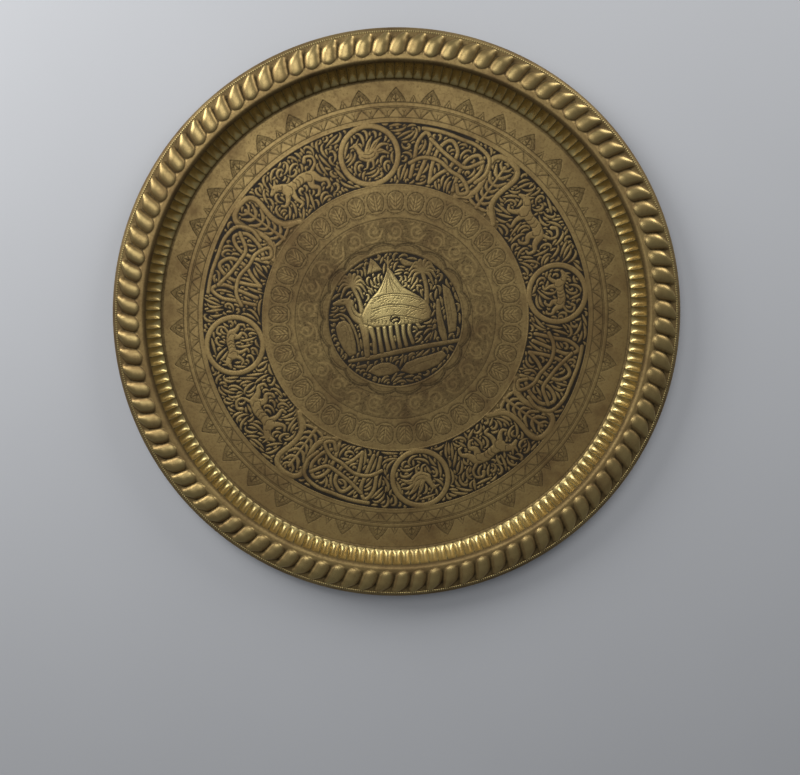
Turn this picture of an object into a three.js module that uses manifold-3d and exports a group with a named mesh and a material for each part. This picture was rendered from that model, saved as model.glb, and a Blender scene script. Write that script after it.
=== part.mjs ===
// A large round brass tray, lying flat: millimetres, +Z up, origin at the centre of its underside.
// Angles are in degrees, clockwise from +Y as seen from above.

import * as THREE from 'three';
import * as BufferGeometryUtils from 'three/addons/utils/BufferGeometryUtils.js';
import Module from 'manifold-3d';

const wasm = await Module();
wasm.setup();

// ---- Driving sizes ----

// The sheet and the section of its rim, from the edge inwards
const trayRadius = 500;
const sheetThickness = 1.5;
const rimHeight = 45; // top of the crest above the underside
const skirtWidth = 10; // how far the skirt slopes out beyond the gadroons
const skirtDrop = 14; // how far it comes down from them to the hem
const gadroonWidth = 42;
const gadroonFall = 6; // the gadroon band slopes down outwards by this
const crestWidth = 7;
const wallRun = 25; // how far the wall leans out from the floor to the crest
const coveHeight = 6; // the rounded foot of the wall
const coveRun = 5;

// The bosses round the rim
const gadroonCount = 99;
const gadroonRise = 5.5;
const gadroonLean = 2.2; // degrees that a boss swings round from its head to its tail

// The wired edge
const wireDiameter = 4;
const wireClearance = 0.3;
const hemWrap = 230; // degrees of the wire that the hem goes round
const hemSteps = 4;

// The decorated fields in the floor
const plainBorder = 70; // from the foot of the wall to the dark band
const bandWidth = 109;
const fieldCount = 4; // roundels, and each other kind of field, round the band
const firstRoundelAngle = -9.1;
const strapWidth = 7.5;
const palmetteHalfWidth = 24;
const palmetteNeck = 18;
const palmetteFoot = 50;
const centreRadius = 121;
const recessDepth = 0.6;
const fillClearance = 0.3; // between the composition and the sides of its recess
const fillSunk = 0.25; // the composition is wiped down this far below the straps
const cuspHeight = 2; // a field stops where it gets lower than this beside a roundel

// Facets
const columns = 2 * gadroonCount;
const circleSteps = 32;
const arcSteps = 7;
const sideSteps = 9;
const wireSides = 8;

const radians = THREE.MathUtils.degToRad;
const degrees = THREE.MathUtils.radToDeg;

// ---- Sizes that follow ----

const floorRadius = trayRadius - skirtWidth - gadroonWidth - crestWidth - wallRun;
const bandOuter = floorRadius - plainBorder;
const bandInner = bandOuter - bandWidth;
const bandMiddle = (bandOuter + bandInner) / 2;
const roundelOuter = bandWidth / 2;
const fieldPitch = 360 / fieldCount;
const hemFacet = radians(hemWrap / hemSteps);
const hemRadius = (wireDiameter / 2 + wireClearance + sheetThickness) / Math.cos(hemFacet / 2);
const skirtTop = rimHeight - gadroonFall;
const hemHeight = skirtTop - skirtDrop;
const wireRing = trayRadius - hemRadius;
const recessFloor = sheetThickness - recessDepth;

const brass = { color: 0x9a8750, roughness: 0.42, metalness: 1.0 };
const composition = { color: 0x23252b, roughness: 0.6, metalness: 0.0 };
const iron = { color: 0x4a4641, roughness: 0.7, metalness: 0.9 };

// ---- Helpers ----

function polar(radius, angle) {
  return new THREE.Vector2(radius * Math.sin(radians(angle)), radius * Math.cos(radians(angle)));
}

// The line moved sideways by a distance, to the right of the way it runs, with mitred corners.
function offsetLine(points, distance, closed = false) {
  const count = points.length;
  const edge = (i) => {
    const from = points[closed ? (i + count) % count : THREE.MathUtils.clamp(i, 0, count - 2)];
    const to = points[closed ? (i + 1) % count : THREE.MathUtils.clamp(i, 0, count - 2) + 1];
    return to.clone().sub(from).normalize();
  };
  return points.map((point, i) => {
    const before = edge(i - 1);
    const after = edge(i);
    const normal = new THREE.Vector2(before.y + after.y, -before.x - after.x);
    return point.clone().addScaledVector(normal, distance / (1 + before.dot(after)));
  });
}

function solidOf(geometry) {
  const bare = geometry.clone();
  bare.deleteAttribute('normal');
  bare.deleteAttribute('uv');
  const merged = BufferGeometryUtils.mergeVertices(bare, 1e-4);
  const vertProperties = new Float32Array(merged.attributes.position.array);
  const triVerts = new Uint32Array(merged.index.array);
  return new wasm.Manifold(new wasm.Mesh({ numProp: 3, vertProperties, triVerts }));
}

function geometryOf(solid) {
  const mesh = solid.getMesh();
  const geometry = new THREE.BufferGeometry();
  geometry.setAttribute('position', new THREE.BufferAttribute(mesh.vertProperties, 3));
  geometry.setIndex(new THREE.BufferAttribute(mesh.triVerts, 1));
  geometry.computeVertexNormals();
  return geometry;
}

// An outline raised from a height by a thickness.
function plate(outline, height, thickness) {
  const geometry = new THREE.ExtrudeGeometry(new THREE.Shape(outline), {
    depth: thickness,
    bevelEnabled: false,
  });
  return geometry.translate(0, 0, height);
}

function turned(profile, segments) {
  return new THREE.LatheGeometry(profile, segments).rotateX(Math.PI / 2);
}

const tray = new THREE.Group();

function addPiece(name, geometry, finish) {
  const mesh = new THREE.Mesh(geometry, new THREE.MeshStandardMaterial(finish));
  mesh.name = name;
  tray.add(mesh);
}

// ---- The sheet ----

// The upper skin of the sheet, from the centre of the floor out to the end of the hem. swell is how far
// a boss lifts the sheet there, and swing how far round the boss has turned there.
function skinStations() {
  const crestOuter = trayRadius - skirtWidth - gadroonWidth;
  const across = (share) => crestOuter + share * gadroonWidth;
  const down = (share) => rimHeight - share * gadroonFall;
  const station = (radius, height, swell = 0, swing = 0) => ({ radius, height, swell, swing });
  const stations = [
    station(0, sheetThickness),
    station(floorRadius, sheetThickness),
    station(floorRadius + coveRun, sheetThickness + coveHeight),
    station(crestOuter - crestWidth / 2, rimHeight),
    station(crestOuter, down(0.15)),
    station(across(0.25), down(0.4), gadroonRise, 0.2 * gadroonLean),
    station(across(0.6), down(0.7), gadroonRise * 0.8, 0.6 * gadroonLean),
    station(across(1), down(1), 0, gadroonLean),
  ];
  for (let i = 0; i <= hemSteps; i++) {
    const turn = hemFacet * i;
    const radius = wireRing + hemRadius * Math.cos(turn);
    stations.push(station(radius, hemHeight - hemRadius * Math.sin(turn)));
  }
  return stations;
}

function sheetBlank() {
  const stations = skinStations();
  const upper = stations.map((s) => new THREE.Vector2(s.radius, s.height));
  const lower = offsetLine(upper, sheetThickness);
  const profile = [...lower, ...upper.reverse()];
  const rows = [...stations, ...stations.slice().reverse()];
  const geometry = turned(profile, columns);
  const position = geometry.attributes.position;
  for (let i = 0; i < position.count; i++) {
    const { swell, swing } = rows[i % rows.length];
    const column = Math.floor(i / rows.length) % columns;
    const lift = column % 2 === 0 ? swell : 0;
    const place = new THREE.Vector3().fromBufferAttribute(position, i);
    place.applyAxisAngle(new THREE.Vector3(0, 0, 1), -radians(swing));
    position.setXYZ(i, place.x, place.y, place.z + lift);
  }
  return geometry;
}

// ---- The fields ----

function circleOutline(centre, radius, steps) {
  const points = [];
  for (let i = 0; i < steps; i++) {
    points.push(polar(radius, (360 * i) / steps).add(centre));
  }
  return points;
}

function ringArc(radius, from, to) {
  const points = [];
  for (let i = 0; i <= arcSteps; i++) {
    points.push(polar(radius, THREE.MathUtils.lerp(from, to, i / arcSteps)));
  }
  return points;
}

// One side of the bottle-shaped strap, from its top to its foot: x across from its middle line, y outwards.
// offset moves the line off the middle of the strap, away from the inside of the bottle.
function palmetteSide(offset) {
  const half = strapWidth / 2;
  const curve = new THREE.SplineCurve([
    new THREE.Vector2(0, bandWidth - half),
    new THREE.Vector2(palmetteHalfWidth * 0.72, bandWidth * 0.92),
    new THREE.Vector2(palmetteHalfWidth, bandWidth * 0.77),
    new THREE.Vector2(palmetteNeck, bandWidth * 0.42),
    new THREE.Vector2(palmetteNeck * 1.3, bandWidth * 0.2),
    new THREE.Vector2(palmetteFoot, half),
  ]);
  const line = offsetLine(curve.getPoints(sideSteps), -offset);
  return line.filter((p) => p.y > cuspHeight && p.y < bandWidth - cuspHeight);
}

function palmettePoint(point, angle, side) {
  const radius = bandInner + point.y;
  return polar(radius, angle + side * degrees(point.x / radius));
}

function palmetteOutline(angle) {
  const side = palmetteSide(-strapWidth / 2).filter((p) => p.x > 0);
  const right = side.map((p) => palmettePoint(p, angle, 1));
  const left = side.map((p) => palmettePoint(p, angle, -1));
  return [...right, ...left.reverse()];
}

// The field between a roundel and a bottle-shaped strap. side is 1 on the clockwise side of the roundel.
function panelOutline(roundelAngle, palmetteAngle, side) {
  const centre = polar(bandMiddle, roundelAngle);
  const reach = degrees(Math.asin(1 - cuspHeight / roundelOuter));
  const points = [];
  for (let i = 0; i <= arcSteps; i++) {
    const rise = THREE.MathUtils.lerp(-reach, reach, i / arcSteps);
    points.push(polar(roundelOuter, roundelAngle + side * (90 - rise)).add(centre));
  }
  const angleOf = (p) => degrees(Math.atan2(p.x, p.y));
  const near = (angle, wanted) => angle + 360 * Math.round((wanted - angle) / 360);
  const strap = palmetteSide(strapWidth / 2).map((p) => palmettePoint(p, palmetteAngle, -side));
  const inner = near(angleOf(points[0]), roundelAngle);
  const outer = near(angleOf(points[arcSteps]), roundelAngle);
  const top = near(angleOf(strap[0]), palmetteAngle);
  const foot = near(angleOf(strap[strap.length - 1]), palmetteAngle);
  return [...points, ...ringArc(bandOuter, outer, top), ...strap, ...ringArc(bandInner, foot, inner)];
}

function fields() {
  const list = [];
  for (let i = 0; i < fieldCount; i++) {
    const roundel = firstRoundelAngle + i * fieldPitch;
    const palmette = roundel + fieldPitch / 2;
    const next = roundel + fieldPitch;
    const inside = roundelOuter - strapWidth;
    const name = (kind) => `${kind}_fill_${i + 1}`;
    list.push([name('roundel'), circleOutline(polar(bandMiddle, roundel), inside, circleSteps)]);
    list.push([name('scroll'), panelOutline(roundel, palmette, 1)]);
    list.push([name('palmette'), palmetteOutline(palmette)]);
    list.push([name('animal'), panelOutline(next, palmette, -1)]);
  }
  list.push(['centre_fill', circleOutline(new THREE.Vector2(), centreRadius, circleSteps)]);
  return list;
}

// ---- The tray ----

let sheet = solidOf(sheetBlank());

for (const [name, outline] of fields()) {
  const inward = THREE.ShapeUtils.isClockWise(outline) ? 1 : -1;
  const patch = offsetLine(outline, inward * fillClearance, true);
  sheet = sheet.subtract(solidOf(plate(outline, recessFloor, 2 * recessDepth)));
  addPiece(name, plate(patch, recessFloor, recessDepth - fillSunk), composition);
}

addPiece('tray_sheet', geometryOf(sheet), brass);

const wireSection = circleOutline(new THREE.Vector2(wireRing, hemHeight), wireDiameter / 2, wireSides).reverse();
addPiece('rim_wire', turned([...wireSection, wireSection[0]], gadroonCount), iron);

export default tray;
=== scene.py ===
"""A large round tray of chased brass: the sheet with its gadrooned rim and relief floor, and its stage.

Lengths inside the making of the relief are in millimetres, and angles go clockwise from +Y, in radians.
"""

import math

import bpy
import numpy as np
from bpy.props import FloatProperty, FloatVectorProperty, IntProperty, PointerProperty
from mathutils import Matrix, Vector


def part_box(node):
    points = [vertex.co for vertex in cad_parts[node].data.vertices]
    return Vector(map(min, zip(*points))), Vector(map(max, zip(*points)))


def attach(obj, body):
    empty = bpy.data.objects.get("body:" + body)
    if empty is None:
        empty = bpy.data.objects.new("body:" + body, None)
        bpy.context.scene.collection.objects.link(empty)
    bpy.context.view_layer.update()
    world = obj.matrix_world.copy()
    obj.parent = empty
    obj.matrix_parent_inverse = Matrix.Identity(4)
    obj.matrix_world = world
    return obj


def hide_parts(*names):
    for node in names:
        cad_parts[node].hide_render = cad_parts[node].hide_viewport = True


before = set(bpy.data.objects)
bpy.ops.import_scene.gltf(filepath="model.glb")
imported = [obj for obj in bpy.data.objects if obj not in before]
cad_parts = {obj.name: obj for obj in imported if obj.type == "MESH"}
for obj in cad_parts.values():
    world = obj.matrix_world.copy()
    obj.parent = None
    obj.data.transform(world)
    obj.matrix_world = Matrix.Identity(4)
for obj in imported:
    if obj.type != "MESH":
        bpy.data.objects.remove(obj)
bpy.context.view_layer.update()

bl_info = {
    "name": "Chased Brass Tray",
    "version": (1, 0, 0),
    "blender": (4, 5, 0),
    "location": "3D View > Sidebar > Brass Tray",
    "description": "Builds a large round tray of chased brass with a gadrooned rim",
    "category": "Add Mesh",
}

MM = 0.001
TAU = 2 * math.pi
FAR = 99.0  # stands for a place that is nowhere near an edge, in millimetres

# ---- Sizes read from the frame ----

_, SHEET_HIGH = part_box("tray_sheet")
WIRE_LOW, WIRE_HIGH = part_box("rim_wire")
_, CENTRE_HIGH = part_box("centre_fill")
ROUNDEL_LOW, ROUNDEL_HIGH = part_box("roundel_fill_1")
ROUNDEL_MIDDLE = (ROUNDEL_LOW + ROUNDEL_HIGH) / 2
ROUNDEL_ANGLE = math.atan2(ROUNDEL_MIDDLE.x, ROUNDEL_MIDDLE.y)
BAND_MIDDLE = math.hypot(ROUNDEL_MIDDLE.x, ROUNDEL_MIDDLE.y) / MM
ROUNDEL_INSIDE = (ROUNDEL_HIGH.x - ROUNDEL_LOW.x) / 2 / MM
HALF_BAND = ROUNDEL_INSIDE + 7.8  # half the dark band: a strap and its gap are outside a roundel
WIRE_HALF = (WIRE_HIGH.z - WIRE_LOW.z) / 2 / MM
WIRE_RING = WIRE_HIGH.x / MM - WIRE_HALF
WIRE_HEIGHT = (WIRE_HIGH.z + WIRE_LOW.z) / 2 / MM
TRAY_RADIUS = SHEET_HIGH.y / MM
CENTRE_RADIUS = CENTRE_HIGH.y / MM
HEM_GAP = 0.3  # between the wire and the hem
GADROON_RISE = 5.5
CREST_HEIGHT = 44.7  # of the band of gadroons, where it leaves the crest
BOSS_TOP = 48.0
NOTCHES = 792


# ---- What a user may change ----


def length(name, description, default):
    """A length property, given in millimetres and kept in metres."""
    return FloatProperty(name=name, description=description, default=default * MM, min=0.0, unit="LENGTH")


def colour(name, description, default):
    """A colour property, in linear light."""
    return FloatVectorProperty(name=name, description=description, default=default, subtype="COLOR", size=3,
                               min=0.0, max=1.0)


class TraySizes(bpy.types.PropertyGroup):
    """Sizes of the chased work, which the frame leaves open."""

    thickness: length("Sheet", "Thickness of the brass sheet", 1.5)
    step: length("Relief step", "Distance between points of the chased floor", 1.05)
    ground: length("Ground depth", "How far the ground is sunk between the straps", 0.55)
    line_depth: length("Line depth", "Depth of the chased lines", 0.28)
    strap: length("Strap", "Width of the straps round the fields", 8.5)
    gadroons: IntProperty(name="Gadroons", description="Bosses round the rim", default=99, min=12)
    gadroon_rise: length("Gadroon rise", "Height of a boss above the groove beside it", GADROON_RISE)
    flutes: IntProperty(name="Flutes", description="Scoops round the wall", default=165, min=12)
    flute_depth: length("Flute depth", "Depth of a scoop in the wall", 5.8)


class TrayFinish(bpy.types.PropertyGroup):
    """Colours of the metals, the composition and the stage."""

    brass: colour("Brass", "Aged brass on the flat", (0.34, 0.240, 0.095))
    bright: colour("Bright brass", "Brass rubbed bright", (0.66, 0.53, 0.22))
    tarnish: colour("Tarnish", "Brown tarnish in patches", (0.19, 0.122, 0.050))
    # The dirt colour also serves as painted shade: at the foot of the wall, under the crest, on the scoops
    # and round the bosses.
    dirt: colour("Dirt", "Old polish and dirt in the lines", (0.022, 0.017, 0.012))
    black: colour("Composition", "Black composition in the ground", (0.0160, 0.0115, 0.0065))
    iron: colour("Iron wire", "Wire in the hem", (0.07, 0.055, 0.045))
    floor: colour("Floor", "Stage floor", (0.50, 0.51, 0.53))


# ---- Mesh of rings ----


class Skin:
    """Rings of points joined one after another into one closed surface, from the middle of the upper side
    out to the edge and back to the middle of the underside."""

    def __init__(self):
        self.points, self.marks, self.quads, self.triangles = [], [], [], []
        self.count = 0
        self.last = None

    def _store(self, points, marks):
        first = self.count
        self.points.append(points.reshape(-1, 3))
        self.marks.append(marks.reshape(-1, 2))
        self.count += len(self.points[-1])
        return first

    def pole(self, height, marks=(0.0, 0.0)):
        """A single point on the axis, which starts or ends the surface."""
        point = self._store(np.array([[0.0, 0.0, height]]), np.array([marks]))
        if self.last is None:
            self.last = ("pole", point)
            return
        first, columns, _ = self.last
        here = np.arange(columns)
        fan = np.stack([first + here, first + (here + 1) % columns, np.full(columns, point)], 1)
        self.triangles.append(fan)

    def grid(self, x, y, z, phase, dirt_and_shade=0.0, polish=0.0):
        """Rows of points, each a ring whose first point is at the angle phase."""
        rows, columns = x.shape
        marks = np.stack([np.broadcast_to(dirt_and_shade, x.shape), np.broadcast_to(polish, x.shape)], -1)
        first = self._store(np.stack([x, y, np.broadcast_to(z, x.shape)], -1), marks)
        if self.last is not None and self.last[0] == "pole":
            here = np.arange(columns)
            fan = np.stack([np.full(columns, self.last[1]), first + (here + 1) % columns, first + here], 1)
            self.triangles.append(fan)
        elif self.last is not None:
            self._bridge(self.last, (first, columns, phase))
        index = first + np.arange(rows * columns).reshape(rows, columns)
        following = np.roll(index, -1, axis=1)
        quads = np.stack([index[:-1], following[:-1], following[1:], index[1:]], -1)
        self.quads.append(quads.reshape(-1, 4))
        self.last = (first + (rows - 1) * columns, columns, phase)

    def _bridge(self, ring, other):
        """Triangles between two rings, which may have different numbers of points."""
        (first, columns, phase), (other_first, other_columns, other_phase) = ring, other
        step, other_step = TAU / columns, TAU / other_columns
        shift = round((phase - other_phase) / other_step)
        lead = other_phase + shift * other_step - phase
        i = j = 0
        strip = []
        while i < columns or j < other_columns:
            here, there = first + i % columns, other_first + (j + shift) % other_columns
            if j == other_columns or (i < columns and (i + 1) * step <= lead + (j + 1) * other_step):
                i += 1
                strip.append((here, first + i % columns, there))
            else:
                j += 1
                strip.append((here, other_first + (j + shift) % other_columns, there))
        self.triangles.append(np.array(strip))

    def build(self, name):
        """The mesh, in metres, with the marks as attributes."""
        points = np.concatenate(self.points) * MM
        marks = np.concatenate(self.marks)
        quads, triangles = np.concatenate(self.quads), np.concatenate(self.triangles)
        mesh = bpy.data.meshes.new(name)
        mesh.vertices.add(len(points))
        mesh.vertices.foreach_set("co", points.astype(np.float32).ravel())
        corners = np.concatenate([quads.ravel(), triangles.ravel()]).astype(np.int32)
        starts = np.concatenate([4 * np.arange(len(quads)), 4 * len(quads) + 3 * np.arange(len(triangles))])
        mesh.loops.add(len(corners))
        mesh.loops.foreach_set("vertex_index", corners)
        mesh.polygons.add(len(starts))
        mesh.polygons.foreach_set("loop_start", starts.astype(np.int32))
        mesh.polygons.foreach_set("use_smooth", np.ones(len(starts), bool))
        for column, label in enumerate(("dirt_and_shade", "polish")):
            layer = mesh.attributes.new(label, "FLOAT", "POINT")
            layer.data.foreach_set("value", np.clip(marks[:, column], 0, 1).astype(np.float32))
        mesh.update(calc_edges=True)
        return mesh


# ---- Curves and strokes ----


def smooth(edge, other, value):
    """0 at edge and 1 at other, with a smooth step between."""
    share = np.clip((value - edge) / (other - edge), 0, 1)
    return share * share * (3 - 2 * share)


def flowing(points, steps=5):
    """A smooth line through the points."""
    points = np.asarray(points, float)
    ends = np.concatenate([2 * points[:1] - points[1:2], points, 2 * points[-1:] - points[-2:-1]])
    share = np.linspace(0, 1, steps, endpoint=False)[:, None]
    line = []
    for a, b, c, d in zip(ends, ends[1:], ends[2:], ends[3:]):
        line.append(0.5 * (2 * b + (c - a) * share + (2 * a - 5 * b + 4 * c - d) * share ** 2
                           + (3 * b - a - 3 * c + d) * share ** 3))
    return np.concatenate(line + [points[-1:]])


def swelling(widths, count):
    """Widths spread evenly along a line of count points."""
    widths = np.atleast_1d(np.asarray(widths, float))
    return np.interp(np.linspace(0, 1, count), np.linspace(0, 1, len(widths)), widths)


def stroke_depth(x, y, points, halves):
    """How far each place is inside a stroke of changing half width. It is negative outside."""
    depth = np.full(x.shape, -FAR)
    for p, q, a, b in zip(points, points[1:], halves, halves[1:]):
        along = q - p
        share = ((x - p[0]) * along[0] + (y - p[1]) * along[1]) / max(along @ along, 1e-9)
        share = np.clip(share, 0, 1)
        away = np.hypot(x - p[0] - share * along[0], y - p[1] - share * along[1])
        np.maximum(depth, a + share * (b - a) - away, out=depth)
    return depth


def shape_depth(x, y, corners):
    """How far each place is inside a closed outline. It is negative outside."""
    corners = np.asarray(corners, float)
    outline = np.concatenate([corners, corners[:1]])
    away = -stroke_depth(x, y, outline, np.zeros(len(outline)))
    inside = np.zeros(x.shape, bool)
    for (x0, y0), (x1, y1) in zip(outline, outline[1:]):
        if y0 != y1:
            inside ^= ((y0 > y) != (y1 > y)) & (x < x0 + (y - y0) * (x1 - x0) / (y1 - y0))
    return np.where(inside, away, -away)


def bent(radius, angle, mirror=1):
    """Places points given along and outwards of a ring, so that they bend with it."""
    def place(points):
        points = np.asarray(points, float)
        turn = angle + mirror * points[:, 0] / radius
        out = radius + points[:, 1]
        return np.stack([out * np.sin(turn), out * np.cos(turn)], 1)
    return place


def straight(radius, angle, scale=1.0, mirror=1, turn=0.0):
    """Places points round a point of a ring without bending them, upright where the tray's edge is up."""
    def place(points):
        points = np.asarray(points, float) * scale
        u, v = mirror * points[:, 0], points[:, 1]
        u, v = u * math.cos(turn) - v * math.sin(turn), u * math.sin(turn) + v * math.cos(turn)
        s, c = math.sin(angle), math.cos(angle)
        return np.stack([(radius + v) * s + u * c, (radius + v) * c - u * s], 1)
    return place


class Relief:
    """A ring of the floor as a polar grid. metal is how far each place is inside raised brass, line how far
    it is inside a chased line, and both are negative outside."""

    def __init__(self, inner, outer, step, sunk, multiple=4):
        self.columns = multiple * max(8, round(TAU * (0.4 * inner + 0.6 * outer) / step / multiple))
        rows = max(2, round((outer - inner) / step))
        self.radius = np.linspace(inner, outer, rows + 1)
        self.angle = ring_angles(self.columns)
        self.x = self.radius[:, None] * np.sin(self.angle)
        self.y = self.radius[:, None] * np.cos(self.angle)
        self.step = step
        self.metal = np.full(self.x.shape, -FAR if sunk else FAR)
        self.swell = 0.42 if sunk else 0.0
        self.line = np.full(self.x.shape, -FAR)
        self.shade = np.zeros(self.x.shape)
        self.polish = np.zeros(self.x.shape)

    def window(self, points, reach):
        """The part of the grid that lies within reach of the points, or None if there is none."""
        radii = np.hypot(points[:, 0], points[:, 1])
        low, high = np.searchsorted(self.radius, [radii.min() - reach, radii.max() + reach])
        if low >= high:
            return None
        if radii.min() < 2 * reach:
            return np.ix_(np.arange(low, high), np.arange(self.columns))
        middle = math.atan2(points[:, 0].mean(), points[:, 1].mean())
        turn = np.arctan2(points[:, 0], points[:, 1]) - middle
        turn = (turn + math.pi) % TAU - math.pi
        spread = reach / radii.min()
        pitch = TAU / self.columns
        first = math.floor((middle + turn.min() - spread - ROUNDEL_ANGLE) / pitch)
        last = math.ceil((middle + turn.max() + spread - ROUNDEL_ANGLE) / pitch)
        if last - first >= self.columns:
            return np.ix_(np.arange(low, high), np.arange(self.columns))
        return np.ix_(np.arange(low, high), np.arange(first, last + 1) % self.columns)

    def raised(self, points, halves, under=None):
        """A raised stroke. under clears a gap of that width beside it, so that it passes over others."""
        points = np.asarray(points, float)
        halves = swelling(halves, len(points))
        near = self.window(points, halves.max() + 7)
        if near is None:
            return
        depth = stroke_depth(self.x[near], self.y[near], points, halves)
        if under is not None:
            self.metal[near] = np.minimum(self.metal[near], -depth - under)
        self.metal[near] = np.maximum(self.metal[near], depth)

    def solid(self, corners, clear=1.1):
        """A raised shape, with a gap cleared round it."""
        near = self.window(np.asarray(corners, float), 6)
        if near is not None:
            depth = shape_depth(self.x[near], self.y[near], corners)
            self.metal[near] = np.maximum(np.minimum(self.metal[near], -depth - clear), depth)

    def chased(self, points, half=0.6):
        """A line sunk into the brass."""
        points = np.asarray(points, float)
        halves = swelling(half, len(points))
        near = self.window(points, halves.max() + 3)
        if near is not None:
            depth = stroke_depth(self.x[near], self.y[near], points, halves)
            self.line[near] = np.maximum(self.line[near], depth)

    def shaded(self, points, half, value, keep=False):
        """A soft dark stroke of dirt and fine hatching. With keep it clears the shade instead."""
        points = np.asarray(points, float)
        halves = swelling(half, len(points))
        near = self.window(points, halves.max() + 2)
        if near is None:
            return
        cover = smooth(-0.7, 0.7, stroke_depth(self.x[near], self.y[near], points, halves))
        shade = self.shade[near]
        self.shade[near] = shade * (1 - cover * value) if keep else np.maximum(shade, value * cover)

    def ring_line(self, radius, half=0.6):
        """A chased line all the way round."""
        self.line = np.maximum(self.line, half - np.abs(self.radius - radius)[:, None])

    def ring_tone(self, inner, outer, shade=0.0, polish=0.0):
        """Even shade or polish over a ring. The shade is dirt and hatching, and painted shade at the foot of
        the wall.
        """
        cover = smooth(inner - 0.4, inner + 0.4, self.radius) * smooth(outer + 0.4, outer - 0.4, self.radius)
        self.shade = np.maximum(self.shade, shade * cover[:, None])
        self.polish = np.maximum(self.polish, polish * cover[:, None])

    def ring_strap(self, inner, outer):
        """A raised ring all the way round."""
        middle, half = (inner + outer) / 2, (outer - inner) / 2
        self.metal = np.maximum(self.metal, half - np.abs(self.radius - middle)[:, None])

    def at(self, values, points):
        """The values at the grid points nearest to the points. Outside the ring it takes the edge."""
        radii = np.hypot(points[:, 0], points[:, 1])
        share = (radii - self.radius[0]) / (self.radius[-1] - self.radius[0])
        rows = np.clip(np.rint(share * (len(self.radius) - 1)), 0, len(self.radius) - 1).astype(int)
        turn = (np.arctan2(points[:, 0], points[:, 1]) - ROUNDEL_ANGLE) % TAU
        return values[rows, np.rint(turn / TAU * self.columns).astype(int) % self.columns]

    def crisp(self):
        """Moves the grid points nearest to an edge of the metal onto it, so that edges come out clean."""
        away = self.metal
        outward = np.gradient(away, self.radius, axis=0)
        ahead, behind = np.roll(away, -1, axis=1), np.roll(away, 1, axis=1)
        pitch = TAU / self.columns
        around = (ahead - behind) / (2 * pitch * np.maximum(self.radius[:, None], 1.0))
        steep = np.maximum(outward ** 2 + around ** 2, 0.25)
        spacing = np.minimum(self.step, pitch * self.radius)[:, None]
        near = (np.abs(away) < 0.5 * spacing) & (np.abs(away) < 4)
        near[0] = near[-1] = False
        move = np.where(near, -away / steep, 0.0)
        out, turn = move * outward, move * around
        s, c = np.sin(self.angle), np.cos(self.angle)
        self.x = self.x + out * s + turn * c
        self.y = self.y + out * c - turn * s
        self.metal = np.where(near, 0.0, away)

    def height(self, top, ground, line_depth):
        """Heights of the chased surface: swelling strokes of metal, sunk ground, and sunk lines."""
        swell = self.swell * np.minimum(np.sqrt(np.clip(self.metal / 2.6, 0, 1)), 1.0)
        sides = -ground * (1 - smooth(-0.9, 0.0, self.metal))
        lines = -line_depth * smooth(-0.45, 0.45, self.line)
        return top + swell + sides + lines

    def dirt_and_shade(self):
        """Where dirt has stayed, beside the metal's edges and in the lines, and the shaded patches: hatching,
        and painted shade at the foot of the wall.
        """
        edges = 0.46 * (1 - smooth(0.0, 0.95, self.metal))
        return np.clip(np.maximum.reduce([edges, 0.72 * smooth(-0.5, 0.35, self.line), self.shade]), 0, 1)


# ---- Motifs: each is a list of (points, half widths) in millimetres ----


def beast():
    """A four-legged beast walking to the right, about 60 long."""
    return [
        ([(-17, 3), (-7, 6), (5, 5), (15, 5)], [7.0, 6.6, 6.2, 7.6]),
        ([(13, 6), (20, 12), (26, 15)], [6.4, 5.2, 4.6]),
        ([(26, 15), (33, 11.5)], [4.2, 2.2]),
        ([(24, 18), (21, 23)], [1.9, 0.7]),
        ([(28, 18), (27.5, 24)], [1.8, 0.6]),
        ([(16, 2), (22, -6), (27, -9), (31, -6)], [4.4, 2.9, 2.1, 1.6]),
        ([(11, 1), (12, -9), (9, -18), (14, -20)], [4.2, 2.8, 2.0, 1.6]),
        ([(-15, 1), (-12, -8), (-17, -14), (-13, -20), (-9, -20)], [5.8, 3.8, 2.4, 1.9, 1.5]),
        ([(-20, 2), (-24, -7), (-30, -12), (-29, -19), (-25, -20)], [5.4, 3.6, 2.3, 1.9, 1.5]),
        ([(-22, 7), (-30, 12), (-31, 20), (-24, 24), (-20, 20)], [2.2, 1.7, 1.6, 1.9, 2.6]),
    ]


def bird():
    """A long-tailed bird facing left, about 55 long."""
    return [
        ([(-10, 0), (0, -3), (10, 0)], [7.5, 8.5, 5.0]),
        ([(-12, 4), (-16, 12), (-19, 17)], [5.2, 3.6, 4.2]),
        ([(-21, 17), (-28, 15)], [2.6, 0.7]),
        ([(-17, 20), (-13, 26)], [1.3, 0.9]),
        ([(8, 1), (18, 4), (30, -2)], [4.4, 4.0, 1.2]),
        ([(9, 4), (20, 13), (31, 12)], [3.4, 3.2, 1.0]),
        ([(4, 5), (12, 17), (22, 24)], [4.4, 3.6, 0.9]),
        ([(-3, 6), (2, 18), (8, 27)], [4.0, 3.0, 0.8]),
        ([(-3, -9), (-6, -18), (-11, -20)], [2.4, 1.5, 1.2]),
        ([(4, -9), (4, -18), (-1, -21)], [2.4, 1.5, 1.2]),
    ]


def knot_work():
    """Straps that weave over and under each other along the band. It isn't lettering."""
    return [
        [(-62, -40), (-58, -8), (-56, 20), (-44, 40), (-34, 22), (-38, -6), (-47, -42)],
        [(-22, -44), (-24, -12), (-19, 18), (-4, 36), (12, 20), (8, -8), (-8, -26), (-22, -44)],
        [(30, -44), (27, -14), (31, 14), (46, 30), (60, 12), (54, -14), (40, -30)],
        [(-66, -16), (-44, -4), (-16, -3), (12, -14), (36, -18), (58, -34), (44, -44), (32, -32)],
        [(-50, 46), (-20, 46), (10, 44), (36, 44), (62, 34), (70, 8), (62, -14)],
        [(-36, 30), (-12, 14), (14, 4), (36, 2), (56, 24)],
    ]


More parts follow.
